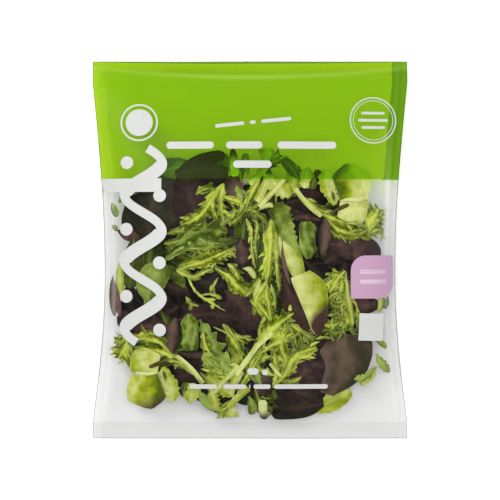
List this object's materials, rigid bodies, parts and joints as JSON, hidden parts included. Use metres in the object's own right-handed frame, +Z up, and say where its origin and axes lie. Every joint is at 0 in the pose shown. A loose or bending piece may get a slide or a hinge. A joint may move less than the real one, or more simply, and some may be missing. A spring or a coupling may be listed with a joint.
{
  "type": "bag of salad leaves",
  "caption": "Sealed clear film pillow bag of mixed baby salad leaves with a green header, flat end seals and a drawn-in waist, lying on its back.",
  "frame": {"origin": "on the table, under the middle of the bag", "axes": "+Y from the bottom seal to the top seal, +X across the front to the right, +Z up out of the printed front face"},
  "size_m": [0.2, 0.24, 0.0498],
  "materials": {
    "film": "clear film with a lime green header over green and dark red leaves",
    "red_leaf": "satin dark red leaf",
    "green_leaf": "satin green leaf",
    "pale_leaf": "smooth yellow-green leaf"
  },
  "bodies": {
    "root": {"bag": "film"}
  },
  "joints": []
}
